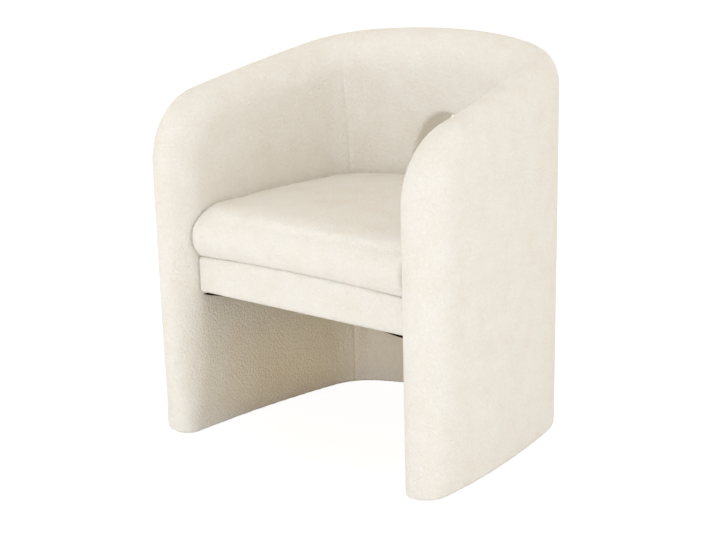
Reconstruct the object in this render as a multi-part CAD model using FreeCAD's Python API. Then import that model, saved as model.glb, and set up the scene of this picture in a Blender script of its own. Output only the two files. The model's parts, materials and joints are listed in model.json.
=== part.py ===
import FreeCAD, Part
import math
import os

Vector = FreeCAD.Vector

# Upholstered wall that makes the arms, the back and the legs in one U
SEAT_WIDTH = 500.0  # between the arms, at their front edge
SEAT_DEPTH = 496.0  # from the arms' front edge to the inside of the back
BACK_HEIGHT = 740.0  # the sloped top line carried on to the back of the chair
ARM_HEIGHT = 639.0  # the sloped top line carried on to the front of the arms
WALL_AT_FLOOR = 89.0  # thickness of the wall at the floor
WALL_AT_TOP = 98.5  # thickness at the back height, as the outside leans out
SIDE_SWEEP = 11.7  # degrees the wall turns along an arm
CORNER_SWEEP = 52.8  # degrees the wall turns in a rear corner
CORNER_RADIUS = 102.0  # inner face in a rear corner
ARM_CORNER = 139.0  # big round from the front of an arm to its top
EDGE_ROUND = 43.0  # padded round along every free edge, across the wall
EDGE_DEPTH = 54.0  # the same round, measured in from the edge
EDGE_STEPS = 3
SEAM_ANGLE = 35.0  # plan angle of the seams in the rear corners
SEAM_SETBACK = 22.0  # long seam, measured in from the outside

# Arched opening through the back
OPENING_WIDTH = 151.0
OPENING_SILL = 425.5
OPENING_SPRING = 461.0  # height where the arch starts
OPENING_TOP = 576.5
SILL_ROUND = 14.0

# Layers of the wall
COVER = 11.0  # fabric with the wadding behind it, fuller where the outside leans out
EDGE_COVER = 26.0  # fabric and the wadding rolled over the free edges
LINING = 6.0
INSIDE_FOAM = 15.0
EDGE_FOAM = 8.0
BOARD = 3.0

# Timber inside the wall
RIB = 18.0
FRONT_POST = 55.0
POST = 30.0
SIDE_POST_AT = 230.0  # behind the front of the arms
JOINT_BACK = 30.0  # top rib joint, behind the arm corner

# Seat
APRON_BOTTOM = 285.0
APRON_HEIGHT = 70.0
APRON_SETBACK = 44.0  # behind the front of the arms
APRON_COVER = 3.0
APRON_PAD = 8.0
APRON_ROUND = 8.0
APRON_TURN = 28.0  # cover turned over the top and under the rail
APRON_GAP = 3.0
SEAT_EDGE = 443.5  # height of the cushion along the wall
SEAT_CROWN = 10.0
SEAT_COVER = 8.0  # fabric with the wadding behind it
CUSHION_SETBACK = 29.0  # behind the front of the arms
CUSHION_LOWER_ROUND = 38.0
CUSHION_EDGE_ROUND = 12.0
CUSHION_STEPS = 2
FIT = 0.3  # between the seat and the wall
RAIL = 22.0
DECK = 15.0
DECK_RING = 48.0
BLOCK = 30.0
DUST_COVER = 1.0
STRAP = 1.5
STRAP_WIDTH = 50.0
STRAP_END = 18.0  # straps stop this far from the deck's edge
LONG_STRAPS = 5
CROSS_STRAPS = 4

# Coach screws that hold the seat, and the feet
SCREW = 8.0
SCREW_HEAD = 13.0
SCREW_HEAD_HEIGHT = 5.5
SCREW_DROP = 30.0  # below the deck
SCREW_GRIP = 32.0  # length in the post
SLIT = 12.0  # square slit for a screw through soft layers and board
GLIDE = 24.0
GLIDE_HEIGHT = 3.0
GLIDE_CHAMFER = 1.0
BASE_STRIP = 1.0
BASE_STRIP_MARGIN = 22.0

# Derived positions
DEPTH = SEAT_DEPTH + WALL_AT_TOP
FRONT_Y = -DEPTH / 2
BACK_Y = FRONT_Y + SEAT_DEPTH  # inside of the back, on the centre line
BEYOND = 60.0  # how far cutting shapes reach past the work
COVER_LOW = GLIDE_HEIGHT + BASE_STRIP
CORE_LOW = COVER_LOW + COVER
TOP = BACK_HEIGHT + BEYOND
SIDE_ANGLE = math.radians(SIDE_SWEEP)
BACK_ANGLE = math.radians(SIDE_SWEEP + CORNER_SWEEP)
SEAM = math.radians(SEAM_ANGLE)
SLOPE = math.atan2(BACK_HEIGHT - ARM_HEIGHT, DEPTH)

INSIDE_CORE = COVER + INSIDE_FOAM
EDGE_CORE = EDGE_COVER + EDGE_FOAM
OPENING_FRAME = LINING + RIB
APRON_Y = FRONT_Y + APRON_SETBACK
RAIL_Y = APRON_Y + APRON_COVER + APRON_PAD
APRON_TOP = APRON_BOTTOM + APRON_HEIGHT
DECK_TOP = APRON_TOP - 2 * STRAP
DECK_BOTTOM = DECK_TOP - DECK
NOSE_Z = APRON_TOP + CUSHION_LOWER_ROUND


def plan_arcs():
    """Centre and radius of the inner face along the arm, in the corner and across the back."""
    cos1, sin1 = math.cos(SIDE_ANGLE), math.sin(SIDE_ANGLE)
    cos2, sin2 = math.cos(BACK_ANGLE), math.sin(BACK_ANGLE)
    across = SEAT_WIDTH / 2 - CORNER_RADIUS * (cos1 - cos2)
    along = SEAT_DEPTH - CORNER_RADIUS * (sin2 - sin1)
    scale = (1 - cos1) * (1 - sin2) - cos2 * sin1
    side = (across * (1 - sin2) - cos2 * along) / scale
    back = ((1 - cos1) * along - sin1 * across) / scale
    side_centre = Vector(SEAT_WIDTH / 2 - side, FRONT_Y, 0)
    corner_centre = side_centre + Vector(cos1, sin1, 0) * (side - CORNER_RADIUS)
    back_centre = Vector(0, BACK_Y - back, 0)
    return (side_centre, side), (corner_centre, CORNER_RADIUS), (back_centre, back)


SIDE, CORNER, BACK = plan_arcs()


def on_arc(arc, angle, offset, z=0.0):
    """Point at a plan angle, moved out from the inner face by offset."""
    centre, radius = arc
    reach = radius + offset
    return Vector(centre.x + reach * math.cos(angle), centre.y + reach * math.sin(angle), z)


def mirrored(point):
    return Vector(-point.x, point.y, point.z)


def other_side(shape):
    return shape.mirror(Vector(0, 0, 0), Vector(1, 0, 0))


def line(start, end):
    return Part.LineSegment(start, end).toShape()


def curve(start, middle, end):
    return Part.Arc(start, middle, end).toShape()


def joined(edges):
    return Part.Wire(Part.__sortEdges__(edges))


def one(shape):
    """The single solid of a Boolean result."""
    solids = [solid for solid in shape.Solids if solid.Volume > 1.0]
    if len(solids) != 1:
        raise ValueError("expected one solid, found %d" % len(solids))
    return solids[0]


def slab(front, back, low, high, left=-SEAT_WIDTH, right=SEAT_WIDTH):
    """Box by its limits."""
    return Part.makeBox(right - left, back - front, high - low, Vector(left, front, low))


def wall_at(z):
    """Thickness of the wall at a height."""
    return WALL_AT_FLOOR + (WALL_AT_TOP - WALL_AT_FLOOR) * z / BACK_HEIGHT


def from_inside(offset):
    return lambda z: offset


def from_outside(inset):
    return lambda z: wall_at(z) - inset


def from_core(inset):
    """Upright outer side of the timber, which doesn't lean."""
    return from_inside(WALL_AT_FLOOR - COVER - inset)


def u_line(offset, z):
    """The U in plan from the right front to the left front, and its right end."""
    lead = -BEYOND / SIDE[1]
    end = on_arc(SIDE, lead, offset, z)
    side_mid = on_arc(SIDE, (lead + SIDE_ANGLE) / 2, offset, z)
    side_end = on_arc(SIDE, SIDE_ANGLE, offset, z)
    corner_mid = on_arc(CORNER, (SIDE_ANGLE + BACK_ANGLE) / 2, offset, z)
    corner_end = on_arc(CORNER, BACK_ANGLE, offset, z)
    back_mid = on_arc(BACK, math.pi / 2, offset, z)
    half = [(end, side_mid, side_end), (side_end, corner_mid, corner_end)]
    edges = [curve(*points) for points in half]
    edges.append(curve(corner_end, back_mid, mirrored(corner_end)))
    for start, middle, finish in reversed(half):
        edges.append(curve(mirrored(finish), mirrored(middle), mirrored(start)))
    return edges, end


def band(inner, outer, low, high):
    """Upright band; inner and outer give the offset from the inner face at a height."""
    wires = []
    for z in (low, high):
        outer_edges, outer_end = u_line(outer(z), z)
        inner_edges, inner_end = u_line(inner(z), z)
        ends = [line(mirrored(outer_end), mirrored(inner_end)), line(inner_end, outer_end)]
        wires.append(joined(outer_edges + inner_edges + ends))
    return Part.makeLoft(wires, True, True)


def plan_block(offset, low, high, front=FRONT_Y - BEYOND):
    """Solid filling the U inside the given offset, straight across the front."""
    edges, end = u_line(offset, low)
    outline = joined(edges + [line(mirrored(end), end)])
    solid = Part.Face(outline).extrude(Vector(0, 0, high - low))
    if front <= end.y:
        return solid
    return solid.common(slab(front, DEPTH, low, high))


def across(edges):
    """Solid across the whole chair from an outline seen from the side."""
    return Part.Face(joined(edges)).extrude(Vector(2 * SEAT_WIDTH, 0, 0))


def side_outline(inset, low):
    """Everything below the top line and behind the front line, both moved in by inset."""
    x = -SEAT_WIDTH
    radius = max(ARM_CORNER - inset, 2.0)
    centre_y = FRONT_Y + inset + radius
    drop = (inset + radius) / math.cos(SLOPE)
    centre_z = ARM_HEIGHT + math.tan(SLOPE) * (centre_y - FRONT_Y) - drop

    def round_point(angle):
        return Vector(x, centre_y + radius * math.cos(angle), centre_z + radius * math.sin(angle))

    start = round_point(math.pi)
    middle = round_point((1.5 * math.pi + SLOPE) / 2)
    end = round_point(math.pi / 2 + SLOPE)
    far_y = FRONT_Y + DEPTH + BEYOND
    far = Vector(x, far_y, end.z + math.tan(SLOPE) * (far_y - end.y))
    far_low = Vector(x, far_y, low)
    near_low = Vector(x, start.y, low)
    edges = [curve(start, middle, end), line(end, far), line(far, far_low)]
    return across(edges + [line(far_low, near_low), line(near_low, start)])


def is_upright(face):
    """True for a face that follows the plan of the wall."""
    surface = face.Surface
    if isinstance(surface, (Part.Cylinder, Part.Cone)):
        return abs(surface.Axis.z) > 0.99
    return False


def is_flat_at(face, z):
    box = face.BoundBox
    return z is not None and box.ZMax - box.ZMin < 0.01 and abs(box.ZMin - z) < 0.01


def rim_edges(body, open_z):
    """Edges between the upright faces and the rest."""
    found = []
    for edge in body.Edges:
        faces = body.ancestorsOfType(edge, Part.Face)
        kinds = [is_upright(face) for face in faces]
        if kinds.count(True) == 1 and not any(is_flat_at(face, open_z) for face in faces):
            found.append(edge)
    return found


def padded_form(form, across, along, steps, open_z=None):
    """Solid with a rounded rim, built from ruled strips so that it stays light.

    form(side, edge) gives the sharp solid with its upright faces and its other faces
    moved in; the round takes across from the first and along from the others. A flat
    face at open_z keeps its sharp outline.
    """
    turns = [math.pi / 2 * i / steps for i in range(steps + 1)]
    stages = [form(across * (1 - math.cos(t)), along * (1 - math.sin(t))) for t in turns]
    faces = [face for face in stages[0].Faces if is_upright(face)]
    for face in stages[-1].Faces:
        if not is_upright(face) and not is_flat_at(face, open_z):
            faces.append(face)
    for stage, following in zip(stages, stages[1:]):
        partners = rim_edges(following, open_z)
        for edge in rim_edges(stage, open_z):
            middle = edge.CenterOfMass
            partner = min(partners, key=lambda e: e.CenterOfMass.distanceToPoint(middle))
            faces.append(Part.makeRuledSurface(edge, partner))
    shell = Part.makeShell(faces)
    shell.sewShape()
    if open_z is not None:
        faces.append(Part.Face(joined(shell.getFreeEdges().Edges)))
        shell = Part.makeShell(faces)
        shell.sewShape()
    return Part.makeSolid(shell)


def wall_body(inner, outer, edge, low):
    """The U wall between two offsets, with its free edges moved in."""
    return one(band(inner, outer, low, TOP).common(side_outline(edge, low)))


def padded_wall():
    """Outer form of the upholstered wall."""

    def sharp(side, edge):
        return wall_body(from_inside(side), from_outside(side), edge, COVER_LOW)

    return padded_form(sharp, EDGE_ROUND, EDGE_DEPTH, EDGE_STEPS, COVER_LOW)


def arch(grow):
    """The opening in the back, grown evenly, as a solid along Y."""
    y = BACK_Y - BEYOND
    half = OPENING_WIDTH / 2
    rise = OPENING_TOP - OPENING_SPRING
    side_radius = rise * rise / half
    gap = ((side_radius - half) ** 2 + (side_radius - rise) ** 2) / (2 * (side_radius - rise))
    turn = math.acos((side_radius - half) / gap)
    side_arc = side_radius + grow
    sill = OPENING_SILL - grow
    corner = SILL_ROUND + grow

    def side_point(angle):
        x = half - side_radius + side_arc * math.cos(angle)
        return Vector(x, y, OPENING_SPRING + side_arc * math.sin(angle))

    spring, side_mid, shoulder = side_point(0), side_point(turn / 2), side_point(turn)
    crown = Vector(0, y, OPENING_TOP + grow)
    low_side = Vector(spring.x, y, sill + corner)
    bend = corner * (1 - math.sqrt(0.5))
    low_mid = Vector(spring.x - bend, y, sill + bend)
    low_end = Vector(spring.x - corner, y, sill)
    edges = [curve(shoulder, crown, mirrored(shoulder)), line(mirrored(low_end), low_end)]
    for place in (lambda point: point, mirrored):
        edges.append(curve(place(spring), place(side_mid), place(shoulder)))
        edges.append(line(place(low_side), place(spring)))
        edges.append(curve(place(low_end), place(low_mid), place(low_side)))
    return Part.Face(joined(edges)).extrude(Vector(0, WALL_AT_TOP + 2 * BEYOND, 0))


def side_sector():
    """Region of the right arm, up to the radial plane of the corner seam."""
    centre = CORNER[0]
    far = SEAT_WIDTH + SEAT_DEPTH
    points = [
        Vector(centre.x, centre.y, 0),
        Vector(centre.x + far * math.cos(SEAM), centre.y + far * math.sin(SEAM), 0),
        Vector(centre.x + far, centre.y - far, 0),
        Vector(centre.x, centre.y - far, 0),
    ]
    face = Part.Face(Part.makePolygon(points + points[:1]))
    return face.extrude(Vector(0, 0, TOP))


def make_covers(nodes, padding):
    """Sewn panels of the wall, split at the real seams."""
    form = padded_wall()
    tunnel = arch(LINING)
    nodes["opening_lining"] = one(form.common(tunnel).cut(arch(0.0)))
    skin = form.cut(padding).cut(tunnel)
    outer_zone = band(from_outside(SEAM_SETBACK), from_outside(-BEYOND), 0.0, TOP)
    sector = side_sector()
    both = sector.fuse(other_side(sector))
    parts = {"outside": skin.common(outer_zone), "inside": skin.cut(outer_zone)}
    for face, part in parts.items():
        right = one(part.common(sector))
        nodes["%s_right_cover" % face] = right
        nodes["%s_left_cover" % face] = other_side(right)
        nodes["%s_back_cover" % face] = one(part.cut(both))


def make_foam(nodes, padding, timber):
    """Foam between the covers and the boards."""
    foam = padding.cut(timber).cut(arch(LINING))
    field = side_outline(EDGE_CORE, 0.0)
    nodes["edge_foam"] = one(foam.cut(field))
    nodes["inside_foam"] = one(foam.common(field))


def radial_slab(arc, angle, width):
    """Upright slab across the wall at a plan angle."""
    box = Part.makeBox(2 * BEYOND + WALL_AT_TOP, width, TOP, Vector(0, -width / 2, 0))
    box.rotate(Vector(0, 0, 0), Vector(0, 0, 1), math.degrees(angle))
    box.translate(on_arc(arc, angle, -BEYOND))
    return box


def front_post_angle():
    return math.asin((EDGE_CORE + FRONT_POST / 2) / SIDE[1])


def side_post_angle():
    return math.asin(SIDE_POST_AT / SIDE[1])


def back_post_angle():
    """Beside the frame of the opening."""
    reach = BACK[1] + INSIDE_CORE
    return math.acos((OPENING_WIDTH / 2 + OPENING_FRAME + POST) / reach)


def make_timber(nodes, timber):
    """Boards, ribs and posts inside the foam."""
    inner_zone = band(from_inside(-BEYOND), from_inside(INSIDE_CORE + BOARD), 0.0, TOP)
    outer_zone = band(from_core(BOARD), from_outside(-BEYOND), 0.0, TOP)
    timber = timber.cut(arch(LINING))
    nodes["inside_board"] = one(timber.common(inner_zone))
    nodes["outside_board"] = one(timber.common(outer_zone))
    frame = timber.cut(inner_zone).cut(outer_zone)
    half = OPENING_WIDTH / 2 + OPENING_FRAME
    low, high = OPENING_SILL - OPENING_FRAME, OPENING_TOP + OPENING_FRAME
    surround = slab(0.0, DEPTH, low, high, -half, half)
    nodes["opening_frame"] = one(frame.common(surround))
    frame = frame.cut(surround)

    base = slab(FRONT_Y - BEYOND, DEPTH, 0.0, CORE_LOW + RIB)
    nodes["base_rib"] = one(frame.common(base))
    frame = frame.cut(base)

    ahead = slab(FRONT_Y - BEYOND, FRONT_Y + ARM_CORNER + JOINT_BACK, 0.0, TOP)
    right = slab(FRONT_Y - BEYOND, DEPTH, 0.0, TOP, left=0.0)
    front = frame.common(ahead).cut(side_outline(EDGE_CORE + FRONT_POST, 0.0))
    nodes["right_front_post"] = one(front.common(right))
    under_top = side_outline(EDGE_CORE + RIB, 0.0)
    nodes["top_rib"] = one(frame.cut(ahead).cut(under_top))
    frame = frame.common(under_top)
    places = {"side": (SIDE, side_post_angle()), "corner": (CORNER, SEAM)}
    places["back"] = (BACK, back_post_angle())
    for name, (arc, angle) in places.items():
        nodes["right_%s_post" % name] = one(frame.common(radial_slab(arc, angle, POST)))


def cushion_outline(inset):
    """Bullnose front and rising top of the cushion, seen from the side."""
    x = -SEAT_WIDTH
    front = FRONT_Y + CUSHION_SETBACK + inset
    lower = CUSHION_LOWER_ROUND - inset
    upper = SEAT_EDGE - NOSE_Z - inset
    tilt = math.atan2(2 * SEAT_CROWN, SEAT_WIDTH / 2)

    def nose_point(radius, angle):
        y = front + radius + radius * math.cos(angle)
        return Vector(x, y, NOSE_Z + radius * math.sin(angle))

    nose = nose_point(upper, math.pi)
    brow = nose_point(upper, math.pi / 2 + tilt)
    brow_mid = nose_point(upper, 0.75 * math.pi + tilt / 2)
    chin = nose_point(lower, 1.5 * math.pi)
    chin_mid = nose_point(lower, 1.25 * math.pi)
    rear = Vector(x, DEPTH, brow.z + math.tan(tilt) * (DEPTH - brow.y))
    rear_low = Vector(x, DEPTH, chin.z)
    edges = [curve(chin, chin_mid, nose), curve(nose, brow_mid, brow), line(brow, rear)]
    return across(edges + [line(rear, rear_low), line(rear_low, chin)])


def cushion_body(side, edge):
    """The cushion with sharp edges and a crowned top, each surface moved in."""
    half = SEAT_WIDTH / 2
    radius = (half * half + SEAT_CROWN * SEAT_CROWN) / (2 * SEAT_CROWN)
    centre = Vector(0, (FRONT_Y + BACK_Y) / 2, SEAT_EDGE + SEAT_CROWN - radius)
    crown = Part.makeSphere(radius - edge, centre, Vector(1, 0, 0))
    body = plan_block(-FIT - side, 0.0, TOP).common(cushion_outline(edge))
    return one(body.common(crown))


def make_cushion(nodes):
    """Flat slab of foam under a crowned cover."""
    slab_block = plan_block(-FIT - SEAT_COVER, 0.0, SEAT_EDGE - SEAT_COVER)
    nodes["seat_foam"] = one(slab_block.common(cushion_outline(SEAT_COVER)))
    form = padded_form(cushion_body, CUSHION_EDGE_ROUND, CUSHION_EDGE_ROUND, CUSHION_STEPS)
    nodes["seat_cover"] = one(form.cut(nodes["seat_foam"]))


def apron_form(inset, back):
    """Rounded block behind the apron's front, open to the rear."""
    low, high = APRON_BOTTOM + inset, APRON_TOP - inset
    block = plan_block(-APRON_GAP, low, high, APRON_Y + inset)
    block = one(block.common(slab(APRON_Y, back, low, high)))
    picked = []
    for edge in block.Edges:
        box = edge.BoundBox
        if box.YMax < APRON_Y + inset + 0.01 and box.ZMax - box.ZMin < 0.01:
            picked.append(edge)
    return block.makeFillet(APRON_ROUND - inset, picked)


def make_apron(nodes):
    """Padded cover over the front rail."""
    outer = apron_form(0.0, APRON_Y + APRON_TURN)
    inner = apron_form(APRON_COVER, APRON_Y + APRON_TURN + BEYOND)
    nodes["apron_cover"] = one(outer.cut(inner))
    nodes["apron_padding"] = one(inner.common(slab(APRON_Y, RAIL_Y, 0.0, TOP)))


def make_seat_frame(nodes):
    """Timber ring, deck and dust cover under the cushion."""
    low, high = APRON_BOTTOM, DECK_BOTTOM
    inside = plan_block(-FIT - RAIL, low, high, RAIL_Y)
    rails = plan_block(-FIT, low, high, RAIL_Y).cut(inside)
    sector = side_sector()
    both = sector.fuse(other_side(sector))
    turned = slab(FRONT_Y, APRON_Y + APRON_TURN, low, low + APRON_COVER)
    nodes["right_side_rail"] = one(rails.common(sector).cut(turned))
    nodes["rear_rail"] = one(rails.cut(both))
    front = inside.common(slab(RAIL_Y, RAIL_Y + RAIL, low, high))
    nodes["front_rail"] = one(front.cut(turned))

    zone = inside.cut(plan_block(-FIT - RAIL - BLOCK, low, high, RAIL_Y))
    zone = zone.common(slab(FRONT_Y, DEPTH, low + RIB, high, left=0.0))
    front_zone = slab(RAIL_Y + RAIL, RAIL_Y + RAIL + 2 * BLOCK, low, high)
    blocks = [one(zone.common(front_zone)), one(zone.common(radial_slab(CORNER, SEAM, 2 * BLOCK)))]
    nodes["corner_blocks"] = Part.makeCompound(blocks + [other_side(block) for block in blocks])

    deck = plan_block(-FIT, DECK_BOTTOM, DECK_TOP, RAIL_Y)
    hole = plan_block(-FIT - DECK_RING, DECK_BOTTOM, DECK_TOP, RAIL_Y + DECK_RING)
    nodes["seat_deck"] = one(deck.cut(hole))
    cloth = plan_block(-APRON_GAP, low - DUST_COVER, low, APRON_Y + APRON_ROUND)
    nodes["dust_cover"] = one(cloth)


def make_webbing(nodes):
    """Elastic straps over the deck, the long ones above the cross ones."""
    front = APRON_Y + APRON_TURN + FIT
    half = STRAP_WIDTH / 2
    lower = plan_block(-STRAP_END, DECK_TOP, DECK_TOP + STRAP, front)
    upper = plan_block(-STRAP_END, DECK_TOP + STRAP, DECK_TOP + 2 * STRAP, front)
    reach = SEAT_WIDTH / 2 - DECK_RING - CORNER_RADIUS / 2
    long_straps, cross_straps = [], []
    for i in range(LONG_STRAPS):
        x = reach * (2 * i / (LONG_STRAPS - 1) - 1)
        zone = slab(FRONT_Y, DEPTH, 0.0, TOP, left=x - half, right=x + half)
        long_straps.append(one(upper.common(zone)))
    first = RAIL_Y + DECK_RING + half
    last = BACK_Y - DECK_RING - half
    for i in range(CROSS_STRAPS):
        y = first + (last - first) * i / (CROSS_STRAPS - 1)
        cross_straps.append(one(lower.common(slab(y - half, y + half, 0.0, TOP))))
    nodes["long_webbing"] = Part.makeCompound(long_straps)
    nodes["cross_webbing"] = Part.makeCompound(cross_straps)


def hexagon(centre, axis, radius):
    """Closed ring of six corners square to a level axis."""
    level = axis.cross(Vector(0, 0, 1))
    up = Vector(0, 0, 1)
    turns = [math.radians(60 * i) for i in range(7)]
    return [centre + level * (radius * math.cos(t)) + up * (radius * math.sin(t)) for t in turns]


def make_screws(nodes):
    """Coach screws from the seat rails into the posts, with their holes."""
    z = DECK_BOTTOM - SCREW_DROP
    screws, slits = [], []
    for arc, angle in [(SIDE, side_post_angle()), (BACK, back_post_angle())]:
        axis = Vector(math.cos(angle), math.sin(angle), 0)
        under_head = on_arc(arc, angle, -FIT - RAIL, z)
        length = FIT + RAIL + INSIDE_CORE + BOARD + SCREW_GRIP
        shank = Part.makeCylinder(SCREW / 2, length, under_head, axis)
        head = Part.Face(Part.makePolygon(hexagon(under_head, axis, SCREW_HEAD / math.sqrt(3))))
        screws.append(one(shank.fuse(head.extrude(axis * -SCREW_HEAD_HEIGHT))))
        level = slab(-DEPTH, DEPTH, z - SLIT / 2, z + SLIT / 2)
        slits.append(radial_slab(arc, angle, SLIT).common(level))
    screws += [other_side(screw) for screw in screws]
    slits += [other_side(slit) for slit in slits]
    nodes["seat_screws"] = Part.makeCompound(screws)
    for name in ("right_side_post", "right_back_post", "right_side_rail", "rear_rail"):
        nodes[name] = one(nodes[name].cut(screws))
    for name in ("board", "foam", "right_cover", "left_cover", "back_cover"):
        nodes["inside_" + name] = one(nodes["inside_" + name].cut(slits))


def make_feet(nodes):
    """Glides and the strip that closes the underside of the wall."""
    low, high = GLIDE_HEIGHT, COVER_LOW
    under = band(from_inside(BASE_STRIP_MARGIN), from_outside(BASE_STRIP_MARGIN), low, high)
    nodes["base_strip"] = one(under.common(side_outline(BASE_STRIP_MARGIN, 0.0)))
    middle = WALL_AT_FLOOR / 2
    glides = []
    for arc, angle in [(SIDE, front_post_angle()), (BACK, back_post_angle())]:
        pad = Part.makeCylinder(GLIDE / 2, GLIDE_HEIGHT, on_arc(arc, angle, middle))
        rim = [edge for edge in pad.Edges if edge.BoundBox.ZMax < 0.01]
        glides.append(pad.makeChamfer(GLIDE_CHAMFER, rim))
    nodes["glides"] = Part.makeCompound(glides + [other_side(glide) for glide in glides])


def mirror_right_pieces(nodes):
    """Left-hand copies of the timber that comes in pairs."""
    for name in ("front_post", "side_post", "corner_post", "back_post", "side_rail"):
        nodes["left_" + name] = other_side(nodes["right_" + name])


def build():
    nodes = {}
    padding = wall_body(from_inside(COVER), from_core(0.0), EDGE_COVER, CORE_LOW)
    timber = wall_body(from_inside(INSIDE_CORE), from_core(0.0), EDGE_CORE, CORE_LOW)
    make_covers(nodes, padding)
    make_foam(nodes, padding, timber)
    make_timber(nodes, timber)
    make_cushion(nodes)
    make_apron(nodes)
    make_seat_frame(nodes)
    make_webbing(nodes)
    make_screws(nodes)
    make_feet(nodes)
    mirror_right_pieces(nodes)
    return nodes


os.makedirs("parts", exist_ok=True)
for node, shape in build().items():
    shape.exportStep("parts/%s.step" % node)
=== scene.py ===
"""Looks of the upholstered barrel armchair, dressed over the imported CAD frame."""
import json
import math
from collections import namedtuple

import bmesh
import bpy
import numpy as np
from mathutils import Matrix, Vector


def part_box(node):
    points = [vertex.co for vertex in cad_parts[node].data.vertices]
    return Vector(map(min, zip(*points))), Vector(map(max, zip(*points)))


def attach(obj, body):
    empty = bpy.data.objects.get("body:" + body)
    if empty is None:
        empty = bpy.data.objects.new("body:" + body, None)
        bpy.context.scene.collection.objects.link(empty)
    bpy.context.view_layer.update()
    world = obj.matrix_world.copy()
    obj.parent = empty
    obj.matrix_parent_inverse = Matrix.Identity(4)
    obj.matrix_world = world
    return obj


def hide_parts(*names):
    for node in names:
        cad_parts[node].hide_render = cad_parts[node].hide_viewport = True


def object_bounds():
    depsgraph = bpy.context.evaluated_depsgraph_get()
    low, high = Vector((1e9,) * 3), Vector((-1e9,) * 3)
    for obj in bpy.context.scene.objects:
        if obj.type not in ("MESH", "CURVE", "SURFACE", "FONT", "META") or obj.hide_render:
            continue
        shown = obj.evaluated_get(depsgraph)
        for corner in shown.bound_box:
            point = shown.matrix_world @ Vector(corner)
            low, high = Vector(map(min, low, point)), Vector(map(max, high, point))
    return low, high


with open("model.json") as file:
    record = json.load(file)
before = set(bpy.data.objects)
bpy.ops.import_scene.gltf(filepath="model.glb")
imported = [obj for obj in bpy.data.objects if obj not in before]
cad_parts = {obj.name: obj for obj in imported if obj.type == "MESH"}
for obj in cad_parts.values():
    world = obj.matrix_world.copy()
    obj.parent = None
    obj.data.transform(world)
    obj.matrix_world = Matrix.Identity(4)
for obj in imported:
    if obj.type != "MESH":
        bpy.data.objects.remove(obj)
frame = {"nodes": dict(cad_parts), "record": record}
CAD_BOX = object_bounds()
MM = 0.001

# The wall in plan and from the side, as the CAD has it
SEAT_WIDTH = 500 * MM
SEAT_DEPTH = 496 * MM
BACK_HEIGHT = 740 * MM
ARM_HEIGHT = 639 * MM
WALL_AT_FLOOR = 89 * MM
WALL_AT_TOP = 98.5 * MM
SIDE_ANGLE = math.radians(11.7)
BACK_ANGLE = math.radians(11.7 + 52.8)
CORNER_RADIUS = 102 * MM
ARM_CORNER = 139 * MM
FRONT_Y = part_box("inside_right_cover")[0].y
WALL_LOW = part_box("inside_right_cover")[0].z
SLOPE = math.atan2(BACK_HEIGHT - ARM_HEIGHT, SEAT_DEPTH + WALL_AT_TOP)

# Soft rounds of the upholstery
FRONT_DEPTH = 64 * MM  # the free edges are full rounds, reaching this far in
TOP_DEPTH = 62 * MM
FRONT_CREST = 0.46  # where the round is highest, as a share of the wall from inside
TOP_CREST = 0.6
FOOT_DEPTH = (30 * MM, 44 * MM)  # tighter rounds where the left and the right leg reach the floor
FOOT_CREST = (0.32, 0.42)
FOOT_TUCK = (0, 7 * MM)  # cover drawn in there, inside the legs
FOOT_TUCK_OUTSIDE = (9 * MM, 5 * MM)
FOOT_HEIGHT = 140 * MM
FOOT_REACH = 180 * MM
FOOT_ROUND = 5 * MM
RIM_ROUND = 9 * MM

# Arched opening in the back
OPENING_HALF = 75.5 * MM
OPENING_SILL = 425.5 * MM
OPENING_SPRING = 461 * MM
OPENING_TOP = 576.5 * MM
SILL_ROUND = 14 * MM
LINING_INSET = 12 * MM  # seam of the lining, inside the opening

# Seat
SEAT_EDGE = 443.5 * MM
SEAT_CROWN = 10 * MM
CROWN_FALL = 0.8  # towards the front and the back, against 1 towards the arms
CROWN_LEAST = -0.6
CUSHION_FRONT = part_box("seat_cover")[0].y
CUSHION_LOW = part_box("seat_cover")[0].z
CUSHION_NOSE = 38 * MM  # widest line of the bullnose, above the cushion's underside
CUSHION_CHIN = 54 * MM  # round under the bullnose
CUSHION_BROW = 70 * MM  # length of the rounder brow above it
CUSHION_EDGE = 4 * MM
CUSHION_LIP = 2 * MM
FRONT_BOW = 9.5 * MM  # the line between cushion and apron rises in the middle
FRONT_DIP = 5 * MM  # and falls at the ends
APRON_LOW, APRON_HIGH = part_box("apron_cover")
APRON_ROUND = 3 * MM
APRON_END_ROUND = 2 * MM
APRON_GAP = 1 * MM
APRON_SAG = 2.5 * MM  # the band's cover hangs a little below its rail
SEAT_GAP = 0.2 * MM

# Cloth under the seat and under the wall
DUST_GAP = 3 * MM  # from the wall
DUST_TIP = 0.2 * MM  # left off at the back, where the cloth would narrow to a point
DUST_SAG = 3 * MM
DUST_DROOP = 8.5 * MM  # slack at the front corners
DUST_SLACK = 60 * MM  # how far that reaches
STAPLE_INSET = 10 * MM
STAPLE_SPACING = 42 * MM
STAPLE_CROWN = 10 * MM
STAPLE_WIRE = 1.1 * MM
STAPLE_SIDES = 10
STAPLE_LINE_POINTS = 60
STRIP_MARGIN = 22 * MM
STRIP_BLUNT = 0.98  # its round ends stop short of a point

# Seams
SEAM_ANGLE = math.radians(37.5)  # corner seams below the seat's edge, about the corner's centre
SEAM_LEAN = math.radians(7)  # towards the arms, from the seat up to the top
SEAM_SETBACK = 22 * MM  # long seam, from the wall's outer face
SEAM_DEPTH = 1.5 * MM
SEAM_HALF = 2.6 * MM
SEAM_SWELL = 0.5 * MM
SEAM_FADE = (24 * MM, 84 * MM)  # from the top edge, where the corner seams start and reach their depth
LONG_SEAM_SHARE = 0.4  # depth of the long seam, against that of a corner seam

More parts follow.
